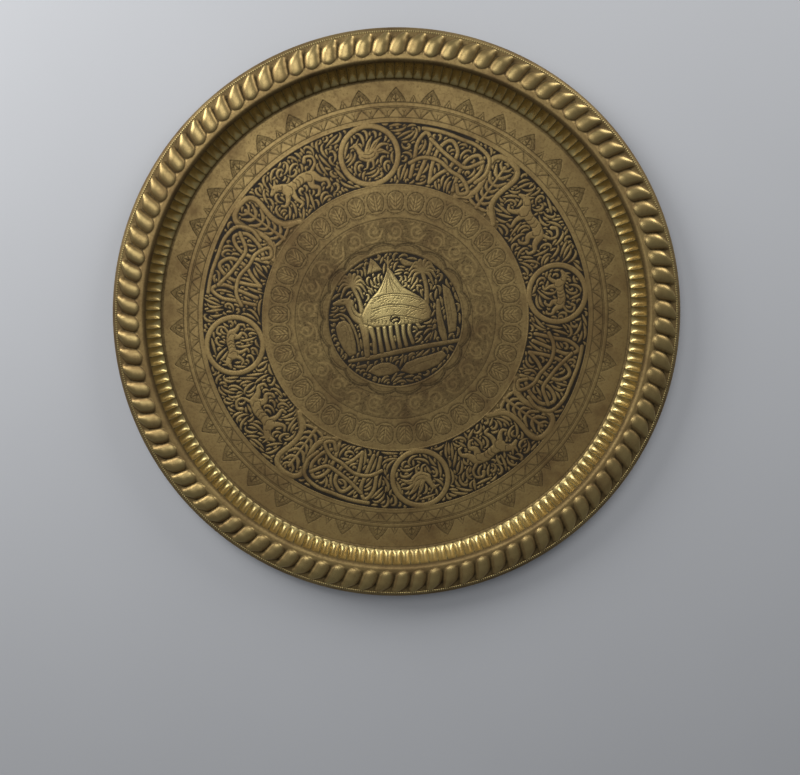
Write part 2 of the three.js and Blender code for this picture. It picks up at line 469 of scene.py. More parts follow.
def beast_marks():
    """Chased lines on a beast: its eye, ear, shoulder, ribs and haunch."""
    return [
        [(27.5, 15.2), (28.3, 15.4)], [(24, 11), (20, 9), (17, 13)],
        [(12, 10), (9, 4), (12, -2), (17, -2)], [(4, 9.5), (2, 5), (4, 0.5)],
        [(-1, 9.5), (-3, 5), (-1, 0.5)], [(-6, 9.5), (-8, 5), (-6, 1)],
        [(-14, 8), (-18, 3), (-15, -3), (-11, -1)],
    ]


def bird_marks():
    """Chased lines on a bird: its eye and the feathers of its wing and tail."""
    return [
        [(-19.5, 17.6), (-18.9, 17.8)], [(-12, -1), (-4, -5), (6, -3), (10, 2)], [(-8, 3), (0, 1), (7, 4)],
        [(12, 3), (22, 3.5)], [(13, 6), (22, 11)], [(6, 10), (13, 17)], [(-1, 10), (4, 20)],
    ]


def palmette_sides():
    """One side of the bottle-shaped strap round the palmette: across from its middle, and up the band."""
    return [(0.0, 50.8), (17.3, 45.8), (24.0, 29.4), (18.0, -8.7), (23.4, -32.7), (50.0, -50.8)]


def palmette_leaves():
    """The plant inside the bottle-shaped strap, its left side. The other side mirrors it."""
    return [
        ([(0, -48), (0, -20), (0, 12), (0, 36)], [3.4, 2.0, 1.8, 3.0]),
        ([(0, 14), (-8, 20), (-14, 33)], [1.8, 3.4, 1.2]),
        ([(0, 0), (-9, 4), (-16, 16)], [1.8, 3.2, 1.4]),
        ([(-2, 30), (-8, 36), (-9, 42)], [1.8, 2.2, 0.9]),
        ([(0, -14), (-7, -10), (-12, 0)], [1.6, 2.9, 1.2]),
        ([(0, -26), (-8, -23), (-12, -14)], [1.7, 2.8, 1.1]),
        ([(0, -38), (-9, -35), (-17, -26)], [1.7, 3.0, 1.3]),
        ([(-2, -47), (-14, -45), (-27, -40)], [1.8, 3.0, 1.3]),
        ([(-18, -36), (-26, -43), (-38, -48)], [1.2, 2.2, 1.0]),
    ]


def camel_and_litter():
    """The camel in the middle, facing left: head and neck, legs and the hanging fringe."""
    return [
        ([(-13, 110), (-13, 88)], [1.7, 2.0]),
        ([(-19, 106), (-13, 99), (-7, 106)], [1.0, 1.7, 1.0]),
        ([(-109, 27), (-99, 30), (-88, 31), (-80, 29)], [2.4, 5.0, 6.0, 6.4]),
        ([(-84, 29), (-77, 14), (-68, 3), (-54, -2)], [6.4, 6.4, 8.0, 11.0]),
        ([(-84, 35), (-80, 41)], [2.0, 0.9]),
        ([(-57, -8), (-53, -32), (-50, -64)], [8.0, 5.6, 4.4]),
        ([(-44, -16), (-38, -36), (-36, -60)], [4.6, 3.0, 3.4]),
        ([(-31, -14), (-28, -34), (-24, -57)], [3.2, 3.0, 3.4]),
        ([(-20, -12), (-17, -32), (-12, -54)], [3.0, 3.0, 3.4]),
        ([(-9, -10), (-7, -30), (-2, -51)], [3.0, 3.0, 3.2]),
        ([(2, -8), (5, -28), (9, -49)], [3.0, 2.8, 3.2]),
        ([(14, -8), (15, -26), (20, -46)], [3.0, 2.8, 3.0]),
        ([(26, -6), (25, -22), (32, -42)], [3.0, 2.8, 2.8]),
        ([(38, -4), (44, -14), (53, -12)], [3.4, 2.6, 1.2]),
    ]


# The peaked canopy of the litter and its cloths
LITTER = [(-13, 92), (-19, 74), (-25, 60), (-32, 48), (-44, 36), (-54, 20), (-60, 6), (-56, -8), (-36, -14),
          (-10, -11), (20, -8), (46, -6), (62, 2), (64, 14), (58, 28), (44, 40), (26, 50), (12, 58),
          (2, 72), (-6, 84)]


def landscape():
    """Strokes of the land: the rocks, trunks and the ground line."""
    return [
        ([(-109, 4), (-98, 9), (-86, 3), (-76, -13), (-68, -34), (-64, -56)], [1.5, 1.7, 1.9, 1.9, 1.7, 1.5]),
        ([(76, 34), (78, 8), (84, -20), (88, -34)], [2.4, 4.4, 6.0, 4.6]),
        ([(10, 106), (18, 100), (36, 97)], [2.4, 5.0, 1.6]),
        ([(-82, -75), (-40, -68), (10, -57), (60, -47), (116, -37)], [2.4, 3.6, 4.0, 3.8, 2.8]),
        ([(-68, -86), (-54, -84)], [1.6, 3.4]),
    ]


# Rocks, a tent and the banks below the ground line
LAND = [
    [(-106, -14), (-100, -5), (-90, -2), (-81, -10), (-75, -26), (-71, -44), (-70, -62), (-82, -66),
     (-92, -54), (-102, -34)],
    [(84, 62), (96, 54), (104, 34), (110, 8), (108, -20), (96, -24), (92, 6), (87, 34)],
    [(-50, 80), (-44, 108), (-36, 102), (-24, 88)],
    [(-48, -94), (-38, -84), (-24, -78), (-10, -78), (2, -84), (8, -92), (-8, -99), (-30, -102)],
    [(10, -92), (20, -78), (40, -70), (62, -64), (84, -56), (92, -64), (78, -80), (54, -92), (30, -98)],
]


def palm_tree(foot, crown, spread=25.0, fronds=10):
    """A palm: its trunk, and fronds that arch out of the crown and hang."""
    foot, crown = np.array(foot, float), np.array(crown, float)
    lean = (foot + crown) / 2 + np.array([3.0, 0.0])
    parts = [([foot, lean, crown], [4.0, 3.0, 3.2])]
    for k in range(fronds):
        turn = math.radians(-128 + 256 * k / (fronds - 1))
        way = np.array([math.sin(turn), math.cos(turn)])
        middle = crown + 0.60 * spread * way + np.array([0.0, 0.20 * spread])
        tip = crown + spread * way + np.array([0.0, -0.24 * spread])
        parts.append(([crown, middle, tip], [1.6, 2.7, 1.0]))
    return parts


# ---- The chased floor ----


def draw(relief, parts, place, clear=None):
    """Raises each part of a motif. clear first sinks a gap round the whole motif."""
    lines = [(place(flowing(points)), halves) for points, halves in parts]
    if clear is not None:
        for line, halves in lines:
            halves = swelling(halves, len(line))
            near = relief.window(line, halves.max() + clear + 2)
            if near is not None:
                depth = stroke_depth(relief.x[near], relief.y[near], line, halves)
                relief.metal[near] = np.minimum(relief.metal[near], -depth - clear)
    for line, halves in lines:
        relief.raised(line, halves)


def scatter_leaves(relief, ground, flow, seed, sizes, gap):
    """Leaves wherever ground is bare. ground is how far a place is inside the field. flow gives the way
    that leaves point at a place, as an angle from outwards, clockwise."""
    random = np.random.default_rng(seed)
    rows, columns = np.nonzero(ground > 1.0)
    for long, half in sizes:
        share = min(1.0, 14.0 / (long * half) * relief.step ** 2)
        chosen = random.permutation(len(rows))[: int(len(rows) * share)]
        chosen = chosen[relief.metal[rows[chosen], columns[chosen]] < -half - gap]
        bends = random.normal(0, 0.65, len(chosen))
        sways = random.normal(0, 0.32, len(chosen))
        for pick, bend, sway in zip(chosen, bends, sways):
            row, column = rows[pick], columns[pick]
            x, y = relief.x[row, column], relief.y[row, column]
            if relief.metal[row, column] > -half - gap:
                continue
            turn = math.atan2(x, y) + flow(x, y) + sway
            share = np.linspace(-0.5, 0.5, 9)
            heading = turn + bend * (share * 2 + 9 * np.clip(share, 0, 1) ** 3)
            steps = np.stack([np.sin(heading), np.cos(heading)], 1) * long / 8
            line = np.cumsum(steps, 0)
            line += np.array([x, y]) - line.mean(0)
            halves = half * np.array([0.20, 0.52, 0.80, 1.0, 1.10, 1.08, 0.92, 0.65, 0.25])
            if (relief.at(relief.metal, line) > -halves - gap).any() or (relief.at(ground, line) < 0.3).any():
                continue
            relief.raised(line, halves)


def band_field(relief, sizes):
    """The dark band with its roundels, knot work, palmettes and beasts."""
    half_strap = sizes.strap / MM / 2
    quarter = TAU / 4
    relief.ring_strap(BAND_MIDDLE - HALF_BAND - 3, BAND_MIDDLE - HALF_BAND + 1.2)
    relief.ring_strap(BAND_MIDDLE + HALF_BAND - 1.2, BAND_MIDDLE + HALF_BAND + 3)
    circle = TAU * np.arange(73) / 72
    ring = (HALF_BAND - half_strap) * np.stack([np.sin(circle), np.cos(circle)], 1)
    for k in range(4):
        roundel = ROUNDEL_ANGLE + k * quarter
        palmette = roundel + quarter / 2
        relief.raised(straight(BAND_MIDDLE, roundel)(ring), half_strap)
        for side in (1, -1):
            line = bent(BAND_MIDDLE, palmette, side)(flowing(palmette_sides(), 8))
            relief.raised(line, half_strap)
            draw(relief, palmette_leaves(), bent(BAND_MIDDLE, palmette, side))
        for n, strap in enumerate(knot_work()):
            line = bent(BAND_MIDDLE, roundel + 0.302 * quarter)(flowing(strap, 8))
            relief.raised(line, 3.0, under=1.3 if n > 2 else None)
        creature = beast() if k % 2 else bird()
        facing = straight(BAND_MIDDLE, roundel, 1.15, mirror=-1 if k % 2 else 1)
        draw(relief, creature, facing, clear=1.9)
        for line in beast_marks() if k % 2 else bird_marks():
            relief.chased(facing(flowing(line)), 0.6)
        facing = straight(BAND_MIDDLE - 3, roundel + 0.705 * quarter, 1.5, mirror=-1)
        draw(relief, [(points, 1.25 * np.array(halves)) for points, halves in beast()], facing, clear=1.9)
        for line in beast_marks():
            relief.chased(facing(flowing(line)), 0.65)
    ground = HALF_BAND - np.abs(np.hypot(relief.x, relief.y) - BAND_MIDDLE)

    def flow(x, y):
        turn, out = math.atan2(x, y), math.hypot(x, y) - BAND_MIDDLE
        return 0.35 * math.sin(8 * (turn - ROUNDEL_ANGLE)) + 0.7 * math.sin(0.045 * out + 19 * turn) + 0.35

    leaves = [(30, 2.1), (22, 2.1), (16, 2.0), (11, 1.8), (7.5, 1.6), (5, 1.4)]
    scatter_leaves(relief, ground, flow, 7, leaves, 1.05)


def folds(relief, place):
    """Chased folds, hems and borders on the canopy and cloths of the litter, and marks on the land."""
    for side in (-1, -0.4, 0.3, 1):
        fold = [(-13, 88), (-12 + side * 6, 70), (-8 + side * 18, 48)]
        relief.chased(place(flowing(fold)), [0.3, 0.7, 0.5])
    for low in (46, 27, 7):
        hem = [(-42, low - 9), (-12, low - 1), (20, low - 2), (50, low - 9)]
        relief.chased(place(flowing(hem)), 0.8)
        relief.chased(place(flowing([(u, v - 3.8) for u, v in hem])), 0.45)
    random = np.random.default_rng(11)
    for k in range(90):
        u, v = random.uniform(-46, 54), random.uniform(2, 42)
        bow = 0.004 * u * u
        line = [(u, v - bow), (u + random.uniform(3, 6), v - bow + random.uniform(1, 3.5))]
        relief.chased(place(line), [0.55, 0.25])
    for k in range(16):
        u = -50 + 6.6 * k
        relief.chased(place(flowing([(u, -0.5), (u + 1.6, -4), (u + 0.6, -8)])), [0.4, 0.8, 0.4])
    relief.chased(place([(-94, 32), (-92, 32.6)]), [1.1, 1.1])
    relief.chased(place(flowing([(-104, 27.5), (-98, 27), (-90, 25.5)])), 0.5)
    relief.chased(place(flowing([(-79, 22), (-73, 9), (-62, 2)])), [0.5, 0.8, 0.5])
    for line in ([(-97, -14), (-90, -9), (-84, -16), (-80, -32), (-78, -52)],
                 [(-92, -24), (-88, -22), (-86, -40)], [(94, 46), (99, 20), (102, -8)],
                 [(90, 40), (94, 14), (98, -14)], [(-36, -92), (-22, -86), (-8, -88)],
                 [(24, -88), (46, -78), (72, -70)], [(-42, 84), (-39, 99)], [(82, 0), (86, -24)]):
        relief.chased(place(flowing(line)), [0.35, 0.6, 0.35])


def medallion_fields(reliefs):
    """The picture in the middle, out to its frame."""
    place = straight(0.0, 0.0)
    palms = palm_tree((-59, 12), (-77, 59)) + palm_tree((56, 30), (48, 84))
    leaves = [(18, 1.9), (13, 1.8), (9, 1.6), (6, 1.4)]
    for n, relief in enumerate(reliefs):
        out = np.hypot(relief.x, relief.y)
        if relief.radius[-1] > CENTRE_RADIUS:
            relief.ring_strap(CENTRE_RADIUS - 0.8, CENTRE_RADIUS + 40)
        draw(relief, landscape(), place)
        for corners in LAND:
            relief.solid(place(corners))
        draw(relief, palms, place, clear=1.0)
        draw(relief, camel_and_litter(), place, clear=1.2)
        relief.solid(place(LITTER), clear=0.7)
        folds(relief, place)

        def flow(x, y):
            return 0.5 - math.atan2(x, y) + 0.6 * math.sin(0.045 * x) + 0.5 * math.cos(0.06 * y)

        scatter_leaves(relief, CENTRE_RADIUS - 1 - out, flow, 31 + n, leaves, 1.3)
        ((east, north),) = place([(-14.0, 26.0)])
        glow = np.exp(-((relief.x - east) / 78) ** 2 - np.abs((relief.y - north) / 78) ** 3)
        relief.polish = 0.78 * glow * smooth(CENTRE_RADIUS, CENTRE_RADIUS - 10, out)
        relief.shade = np.maximum(relief.shade, 0.42 * smooth(0.75, 0.25, glow))


def scalloped_frame(relief):
    """The sixteen-lobed double line round the picture."""
    lobes, turn = 16, np.linspace(0, TAU, 640 + 1)
    relief.ring_tone(CENTRE_RADIUS, CENTRE_RADIUS + 15, shade=0.36)
    for grow, half in ((7.0, 1.8), (3.4, 0.8)):
        radius = CENTRE_RADIUS + grow + 8.5 * np.abs(np.sin(turn * lobes / 2)) ** 0.75
        line = np.stack([radius * np.sin(turn), radius * np.cos(turn)], 1)
        for start in range(0, len(line) - 1, 10):
            relief.chased(line[start:start + 11], half)


def scroll_ring(relief):
    """Running scrolls left plain on a hatched ground, between the picture and the arches."""
    inner, outer = CENTRE_RADIUS + 18.5, CENTRE_RADIUS + 56.0
    middle = (inner + outer) / 2
    relief.ring_tone(CENTRE_RADIUS + 6, relief.radius[-1] + 1, shade=0.34)
    relief.ring_tone(inner, outer, shade=0.44)
    plain = np.full(relief.x.shape, -FAR)
    random = np.random.default_rng(5)

    def scroll(line, halves):
        halves = swelling(halves, len(line))
        near = relief.window(line, halves.max() + 3)
        depth = stroke_depth(relief.x[near], relief.y[near], line, halves)
        plain[near] = np.maximum(plain[near], depth)
        relief.shaded(line, halves, 0.55, keep=True)

    count = 26
    for k in range(count):
        way = 1 if k % 2 else -1
        place = bent(middle, TAU * k / count)
        share = np.linspace(0, 1, 24)
        spiral = 13.8 * (1 - 0.80 * share)
        curl = way * (math.pi * 0.6 + 8.4 * share)
        coil = np.stack([spiral * np.sin(curl), spiral * np.cos(curl) + way * 2.0], 1)
        scroll(place(coil), [1.5, 1.4, 1.0])
        stem = [(-20, -way * 12), (-8, -way * 15.5), (6, -way * 13), (15, way * 1)]
        scroll(place(flowing(stem)), [1.0, 1.6, 1.2])
        for foot, lean in ((-13, 4), (-3, 5), (8, 3)):
            leaf = [(foot, way * 12), (foot + lean, way * 15.5), (foot + 1, way * 18)]
            scroll(place(flowing(leaf)), [1.5, 1.2, 0.5])
        scroll(place(flowing([(0, way * 2), (way * 3.0, way * 4.5)])), [2.2, 1.0])
    for k in range(2600):
        turn, out = random.uniform(0, TAU), random.uniform(inner + 1.2, outer - 1.2)
        lean = 0.75 + 0.5 * math.sin(5 * turn) + random.normal(0, 0.25)
        place = bent(out, turn)
        reach = random.uniform(1.3, 2.6)
        u, v = reach * math.sin(lean), reach * math.cos(lean)
        line = place([(-u, -v), (u, v)])
        if (relief.at(plain, line) < -0.4).all():
            relief.chased(line, [0.42, 0.25])
    relief.ring_line(outer + 2.0, 0.65)
    relief.ring_line(inner - 0.6, 0.65)
    relief.polish = np.maximum(relief.polish, 0.12 * smooth(-0.2, 0.8, plain))


def arch_ring(relief):
    """Thirty-seven small arches, each with a leaf cross inside and a scallop under it."""
    count, middle = 37, BAND_MIDDLE - ROUNDEL_INSIDE - 34.5
    relief.ring_tone(relief.radius[0] - 1, BAND_MIDDLE - ROUNDEL_INSIDE - 15.8, shade=0.22)
    relief.ring_tone(BAND_MIDDLE - ROUNDEL_INSIDE - 15.4, relief.radius[-1] + 1, shade=0.17)
    for k in range(count):
        place = bent(middle, TAU * k / count)
        arch = flowing([(-10, -17), (-14, -8), (-14, 5), (-9, 13), (0, 16),
                        (9, 13), (14, 5), (14, -8), (10, -17)])
        for wide, low, high in ((0, -13, 12), (-5, -13, 10), (5, -13, 10), (-9.5, -10, 4), (9.5, -10, 4)):
            relief.shaded(place([(wide, low), (wide, high)]), 3.4, 0.42)
        relief.chased(place(np.concatenate([arch, arch[:1]])), 0.85)
        for side in (1, -1):
            for low, high in ((-15, -6), (-8, 2), (-1, 9)):
                leaf = flowing([(0, low), (side * 5.0, (low + high) / 2 - 1), (side * 8.6, high)])
                relief.shaded(place(leaf), [0.8, 1.9, 0.8], 0.9, keep=True)
                relief.chased(place(leaf + np.array([side * 0.6, -2.6])), [0.35, 0.6, 0.3])
        relief.shaded(place([(0, -15), (0, 12)]), [1.0, 1.7, 0.7], 0.9, keep=True)
        for side in (1, -1):
            relief.chased(place([(side * 2.1, -14), (side * 2.1, 8), (0, 12.5)]), 0.3)
        scallop = [(-17.5, -15), (-10, -21.0), (0, -23.0), (10, -21.0), (17.5, -15)]
        relief.chased(place(flowing(scallop)), 0.7)
        relief.shaded(place(flowing([(u, v - 2.4) for u, v in scallop])), 1.4, 0.4)
        place = bent(middle, TAU * (k + 0.5) / count)
        for v in (-9, -2, 5, 11):
            relief.shaded(place([(0, v - 2), (0, v + 2)]), [0.6, 1.1, 0.6], 0.35)
        relief.chased(place([(-3.4, 15.5), (0, 9.5), (3.4, 15.5)]), [0.3, 0.7, 0.3])


def border_rings(relief):
    """The outer border: raised plain rings, a row of small triangles, and a row of pointed leaves."""
    band = BAND_MIDDLE + HALF_BAND
    for radius in (band + 7.0, band + 24.0, band + 26.2, band + 33.2):
        relief.ring_line(radius, 0.75)
    relief.ring_tone(band, band + 6.2, shade=0.06)
    relief.ring_tone(band + 27.0, band + 32.4, polish=0.10)
    count = 77
    low, high = band + 8.4, band + 22.8
    relief.ring_tone(low - 1.0, high + 1.0, shade=0.34)
    middle, tall = (low + high) / 2, (high - low) / 2
    half = math.pi * middle / count
    for k in range(count):
        place = bent(middle, TAU * k / count)
        outline = place([(-0.86 * half, -tall), (0, tall), (0.86 * half, -tall)])
        for level in (-0.75, -0.35, 0.05, 0.4):
            wide = 0.80 * half * (1 - level) / 2
            stripe = [(-wide + 1.6, level * tall), (wide - 1.6, level * tall)]
            relief.shaded(place(stripe), 2.1, 1.0, keep=True)
        relief.chased(outline, 0.65)
        place = bent(middle, TAU * (k + 0.5) / count)
        for level in (-0.35, 0.05, 0.45, 0.8):
            wide = 0.62 * half * (1 + level) / 2
            relief.shaded(place([(-wide, level * tall), (wide, level * tall)]), 1.6, 0.75, keep=True)
        relief.chased(place([(0, -0.9 * tall), (0, 0.1 * tall)]), 0.5)
        relief.chased(place([(-2.6, 0.6 * tall), (0, 0.1 * tall), (2.6, 0.6 * tall)]), 0.4)
    count, foot = 39, band + 34.4
    for k in range(count):
        place = bent(foot, TAU * k / count)
        for side in (1, -1):
            leaf = [(side * 17.0, 1.0), (side * 13.5, 7.0), (side * 7.5, 15.0), (0, 23.5)]
            within = [(side * 13.2, 1.5), (side * 10.4, 7.2), (side * 5.6, 13.2), (0, 18.0)]
            relief.shaded(place(flowing(within)), [2.2, 2.2, 2.0], 0.34)
            relief.chased(place(flowing(leaf)), 0.75)
            inner = [(side * 8.8, 0.8), (side * 6.8, 6.4), (side * 3.2, 11.4), (0, 14.2)]
            relief.chased(place(flowing(inner)), 0.6)
            vein = [(side * 1.0, 1.0), (side * 3.4, 4.5), (side * 5.4, 5.6)]
            relief.chased(place(flowing(vein)), [0.5, 0.9, 0.4])
            for step in range(5):
                u, v = side * (15.2 - 2.9 * step), 2.4 + 3.4 * step
                relief.chased(place([(u, v), (u - side * 2.2, v - 2.4)]), 0.35)
        relief.shaded(place([(0, 1.0), (0, 17.0)]), [1.6, 1.9], 0.34)
        relief.chased(place([(0, 0.5), (0, 12.5)]), [1.2, 0.5])
        place = bent(foot, TAU * (k + 0.5) / count)
        for side in (1, -1):
            within = [(side * 5.4, 1.0), (side * 3.4, 5.0), (side * 1.0, 10.0)]
            relief.shaded(place(within), [1.4, 1.0, 0.6], 0.38)
            leaf = [(side * 6.0, 0.6), (side * 2.6, 6.0), (side * 0.5, 11.5)]
            relief.chased(place(leaf), [0.4, 0.5, 0.3])
        relief.chased(place([(0, 1.0), (0, 6.0)]), [1.0, 0.4])


def floor_reliefs(sizes):
    """The whole floor as rings of relief, from the middle out to the foot of the wall."""
    step = sizes.step / MM
    inner, outer = BAND_MIDDLE - HALF_BAND, BAND_MIDDLE + HALF_BAND
    picture = [Relief(low, high, 0.85 * step, sunk=True)
               for low, high in ((2, 13), (13.8, 34), (34.8, 70), (70.8, CENTRE_RADIUS + 1.5))]
    medallion_fields(picture)
    frame_ring = Relief(CENTRE_RADIUS + 2.4, CENTRE_RADIUS + 59.5, 1.05 * step, sunk=False)
    scalloped_frame(frame_ring)
    scroll_ring(frame_ring)
    arches = Relief(CENTRE_RADIUS + 60.6, inner - 0.8, 1.1 * step, sunk=False)
    arch_ring(arches)
    band = Relief(inner, outer, step, sunk=True)
    band_field(band, sizes)
    border = Relief(outer + 0.9, outer + 59, 1.15 * step, sunk=False)
    border_rings(border)
    plain = Relief(outer + 60.2, outer + 70, 2.0 * step, sunk=False)
    # Painted shadow at the foot of the wall, over the outer edge of the plain floor.
    plain.ring_tone(outer + 68.8, outer + 75, shade=0.5)
    return picture + [frame_ring, arches, band, border, plain]


# ---- The rim ----


def ring_angles(columns):
    """Even angles round the tray, from the middle of the first roundel."""
    return ROUNDEL_ANGLE + TAU * np.arange(columns) / columns


def polar_rows(radius, angle):
    """Places at the angles, with a row of them for each radius."""
    radius = np.atleast_1d(radius)[:, None]
    return radius * np.sin(angle), radius * np.cos(angle)


class Rim:
    """The section of the tray outside the floor."""

    def __init__(self, sizes):
        self.sizes = sizes
        self.sheet = sizes.thickness / MM
        self.columns = 1980
        self.angle = ring_angles(self.columns)
        self.foot = BAND_MIDDLE + HALF_BAND + 70.3
        self.hem = WIRE_HALF + HEM_GAP + self.sheet
        self.flute_low, self.flute_high = (self.foot + 3.2, 5.5), (TRAY_RADIUS - 61.5, 37.5)
        self.crest = (TRAY_RADIUS - 55.5, 44.8)
        self.gadroon_in, self.gadroon_out = TRAY_RADIUS - 50.6, TRAY_RADIUS - 11.0
        self.swing = 8 * TAU / self.columns

    def flute(self, share, angle):
        """Depth of the scoops at a share of the way up the wall, and how far across its scoop a place is."""
        across = (angle - ROUNDEL_ANGLE) * self.sizes.flutes / TAU % 1.0
        scoop = 1 - np.abs(2 * across - 1) ** 2.2
        ends = np.clip(1 - np.abs(2 * share - 1) ** 2.4, 0, 1)[:, None] ** 0.8
        return self.sizes.flute_depth / MM * scoop * ends, across

    def wall(self, share, angle, offset):
        """Points of the fluted wall, moved out of its upper side by an offset."""
        (r0, z0), (r1, z1) = self.flute_low, self.flute_high
        long = math.hypot(r1 - r0, z1 - z0)
        out, down = (z1 - z0) / long, -(r1 - r0) / long
        depth = self.flute(share, angle)[0] + offset
        radius = r0 + share[:, None] * (r1 - r0) + out * depth
        height = z0 + share[:, None] * (z1 - z0) + down * depth
        return radius, height

    def gadroon(self, share, angle):
        """Height of the gadroon band, and how far inside its boss each place is, with the bosses swung
        round. Each boss has a round head beside the crest and curls clockwise into a blunt tail."""
        pitch = TAU / self.sizes.gadroons
        across = (angle - ROUNDEL_ANGLE) / pitch % 1.0 - 0.5
        share = share[:, None]
        head = np.sqrt(np.clip(1 - (np.clip(0.30 - share, 0, 1) / 0.30) ** 2, 0, 1))
        tail = np.sqrt(np.clip(1 - (np.clip(share - 0.44, 0, 1) / 0.56) ** 2.4, 0, 1))
        wide = 0.492 * head * tail + 1e-3
        inside = np.clip(1 - (np.abs(across - 0.12 * smooth(0.7, 1.0, share)) / wide) ** 2, 0, 1)
        groove = CREST_HEIGHT - 3.6 * smooth(0.02, 0.30, share) - 2.6 * smooth(0.20, 1.0, share)
        swell = np.sqrt(np.clip(1 - (np.clip(0.32 - share, 0, 1) / 0.32) ** 2, 0, 1))
        ridge = CREST_HEIGHT + 3.3 * swell - 5.2 * smooth(0.50, 1.12, share) ** 1.3
        rise = np.maximum(ridge - groove, 0) * self.sizes.gadroon_rise / (GADROON_RISE * MM)
        height = groove + rise * inside ** 0.5
        return np.minimum(height, BOSS_TOP), inside

    def turn(self, share):
        """How far the bosses have swung round, clockwise."""
        return self.swing * (0.22 * share + 0.78 * share ** 2.1)


def rim_upper(skin, rim):
    """The upper side, from the foot of the wall to the milled line."""
    angle = rim.angle
    foot, (r0, z0) = rim.foot, rim.flute_low
    # The rows at the foot of the wall are darkened evenly: painted shade in the corner, with some dirt.
    for share in (0.0, 0.35, 0.7):
        radius = foot + (r0 - foot) * math.sin(share * math.pi / 2)
        height = rim.sheet + (z0 - rim.sheet) * (1 - math.cos(share * math.pi / 2)) * 0.9
        x, y = polar_rows(radius, angle)
        skin.grid(x, y, height, ROUNDEL_ANGLE, dirt_and_shade=0.50)
    share = np.linspace(0, 1, 19)
    radius, height = rim.wall(share, angle, 0.0)
    across = rim.flute(share, angle)[1]
    edge = np.exp(-(np.minimum(across, 1 - across) / 0.085) ** 2)
    # Painted shade at the scoops' lower ends, with some dirt by the foot, and at their upper ends below the
    # crest, and a painted dark line along each ridge between scoops.
    dirt_and_shade = 0.45 * (1 - smooth(0, 0.10, share))[:, None] + 0.35 * smooth(0.80, 1.0, share)[:, None]
    dirt_and_shade = dirt_and_shade + 0.85 * np.exp(-(np.minimum(across, 1 - across) / 0.07) ** 2)
    skin.grid(radius * np.sin(angle), radius * np.cos(angle), height, ROUNDEL_ANGLE,
              dirt_and_shade=np.clip(dirt_and_shade, 0, 1), polish=0.20 * edge + 0.70)
    (r1, z1), (rc, zc) = rim.flute_high, rim.crest
    share = np.array([0.12, 0.35, 0.65, 1.0])
    radius = r1 + (rc - r1) * share
    height = z1 + (zc - z1) * np.sin(share * math.pi / 2)
    x, y = polar_rows(radius, angle)
    # Painted shade below the crest, darkest above the scoops and gone on the crest.
    dirt_and_shade = np.array([[0.55], [0.50], [0.28], [0.0]])
    skin.grid(x, y, height[:, None], ROUNDEL_ANGLE, dirt_and_shade=dirt_and_shade, polish=0.1)
    share = np.concatenate([[-0.05, 0.0, 0.008, 0.02, 0.04], np.linspace(0.065, 1.0, 29)])
    place = np.clip(share, 0, 1)
    height, inside = rim.gadroon(place, angle)
    radius = rim.gadroon_in + share * (rim.gadroon_out - rim.gadroon_in)
    swung = angle + rim.turn(place)[:, None]
    # Painted shade, with some dirt, in the grooves between the bosses, and a painted dark edge round each
    # head where it rises from the crest.
    head = (1 - smooth(0.08, 0.24, share))[:, None]
    head_edge_shade = smooth(0.0, 0.08, inside) * (1 - smooth(0.15, 0.55, inside))
    groove_dirt_and_shade = 0.75 - 0.35 * smooth(0.7, 0.9, share)[:, None]
    dirt_and_shade = groove_dirt_and_shade * (1 - smooth(0.0, 0.30, inside)) * (1 - head) + 0.75 * head_edge_shade * head
    polish = 0.46 * smooth(0.15, 0.8, inside)
    x, y = polar_rows(radius, swung)
    skin.grid(x, y, height, ROUNDEL_ANGLE + rim.turn(1.0), dirt_and_shade=dirt_and_shade, polish=polish)


def milled_line(skin, rim):
    """The line of small notches outside the gadroons."""
    columns = 4 * NOTCHES
    angle = ring_angles(columns)
    notch = 0.5 - 0.5 * np.cos(TAU * np.arange(columns) / 4)
    start = rim.gadroon_out
    radius = start + np.array([0.5, 0.9, 1.9, 2.9, 3.4])
    base = np.array([38.4, 38.5, 38.5, 38.2, 37.7])
    bead = np.array([0.0, 0.55, 0.95, 0.55, 0.0])
    x, y = polar_rows(radius, angle)
    height = base[:, None] + bead[:, None] * notch
    dirt_and_shade = 0.10 + 0.55 * (1 - notch) * (bead[:, None] > 0)
    skin.grid(x, y, height, ROUNDEL_ANGLE, dirt_and_shade=dirt_and_shade, polish=0.7 * notch + 0.15)
    return radius[-1], base[-1]


def hem_rows(rim, start):
    """Radii and heights from the milled line down the skirt, round the hem and back up under the skirt."""
    (r0, z0), reach = start, rim.hem
    share = np.linspace(0.12, 1, 8)
    radius = r0 + (WIRE_RING + reach - r0) * np.sin(share * math.pi / 2) ** 1.15
    height = z0 + (WIRE_HEIGHT - z0) * (0.25 * share + 0.75 * share ** 1.8)
    turn = np.radians(np.linspace(20, 232, 14))
    outer = np.stack([WIRE_RING + reach * np.cos(turn), WIRE_HEIGHT - reach * np.sin(turn)], 1)
    inside = reach - rim.sheet
    inner = np.stack([WIRE_RING + inside * np.cos(turn), WIRE_HEIGHT - inside * np.sin(turn)], 1)[::-1]
    skirt = np.stack([radius, height], 1)
    back = skirt[::-1] - np.array([0.9984, 0.663]) * rim.sheet
    back[0] = (WIRE_RING + inside, WIRE_HEIGHT)
    return np.concatenate([skirt, outer, inner, back])


